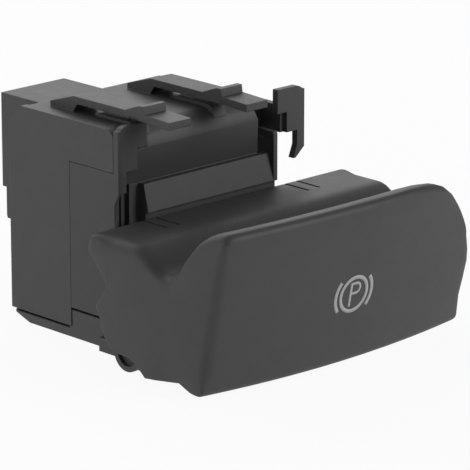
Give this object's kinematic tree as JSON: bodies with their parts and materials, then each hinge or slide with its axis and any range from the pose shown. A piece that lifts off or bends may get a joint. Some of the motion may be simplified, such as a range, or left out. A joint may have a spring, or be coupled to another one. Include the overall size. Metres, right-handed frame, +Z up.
{
  "type": "electric parking brake switch",
  "caption": "Wide pull and push paddle with a finger trough behind its lip, hinged in front of a snap-in housing with hooks and a rear plug socket.",
  "frame": {"origin": "middle of the paddle's width, on the hooks' front plane, at the level of the housing's roof", "axes": "+X across the paddle to the right seen from the front, +Y from the face back to the plug socket, +Z up"},
  "size_m": [0.0663, 0.0762, 0.0459],
  "materials": {
    "housing_plastic": "fine spark-eroded texture",
    "frame_plastic": "smooth matte",
    "paddle_skin": "soft satin, fine grain",
    "inner_plastic": "smooth",
    "slider_plastic": "low friction, natural",
    "board_green": "solder mask",
    "pin_brass": "tinned brass",
    "contact_copper": "bright spring copper",
    "spring_steel": "drawn wire",
    "pin_steel": "ground",
    "screw_steel": "zinc plated",
    "chip_black": "moulded",
    "led_lens": "clear",
    "clear_plastic": "clear",
    "pad_rubber": "soft"
  },
  "bodies": {
    "housing": {"housing_shell": "housing_plastic", "front_frame": "frame_plastic", "base_cover": "housing_plastic", "circuit_board": "board_green", "connector_header": "inner_plastic", "contact_pins": "pin_brass", "board_screws": "screw_steel", "contact_tracks": "contact_copper", "control_chip": "chip_black", "chip_resistors": "chip_black", "backlight_led": "led_lens", "light_pipe": "clear_plastic", "left_hinge_pin": "pin_steel", "right_hinge_pin": "pin_steel", "left_hinge_spring": "spring_steel", "right_hinge_spring": "spring_steel", "upper_slider_spring": "spring_steel", "lower_slider_spring": "spring_steel", "stop_pads": "pad_rubber"},
    "paddle": {"paddle_shell": "paddle_skin", "paddle_carrier": "inner_plastic", "carrier_screws": "screw_steel", "symbol_diffuser": "clear_plastic"},
    "slider": {"contact_slider": "slider_plastic", "contact_bridge": "contact_copper"}
  },
  "joints": [
    {"name": "paddle_hinge", "type": "hinge", "parent": "housing", "child": "paddle", "pos_m": [0, -0.0086, -0.038], "axis": [1, 0, 0], "range_deg": [-3, 6], "stiffness_Nm_per_rad": 1.5},
    {"name": "slider_travel", "type": "slide", "parent": "housing", "child": "slider", "axis": [0, 0, 1], "range_m": [-0.0012, 0.0022], "stiffness_N_per_m": 8, "deforming": ["upper_slider_spring", "lower_slider_spring"]}
  ],
  "couplings": [
    {"joint": "slider_travel", "follows": "paddle_hinge", "m_per_rad": 0.019}
  ]
}
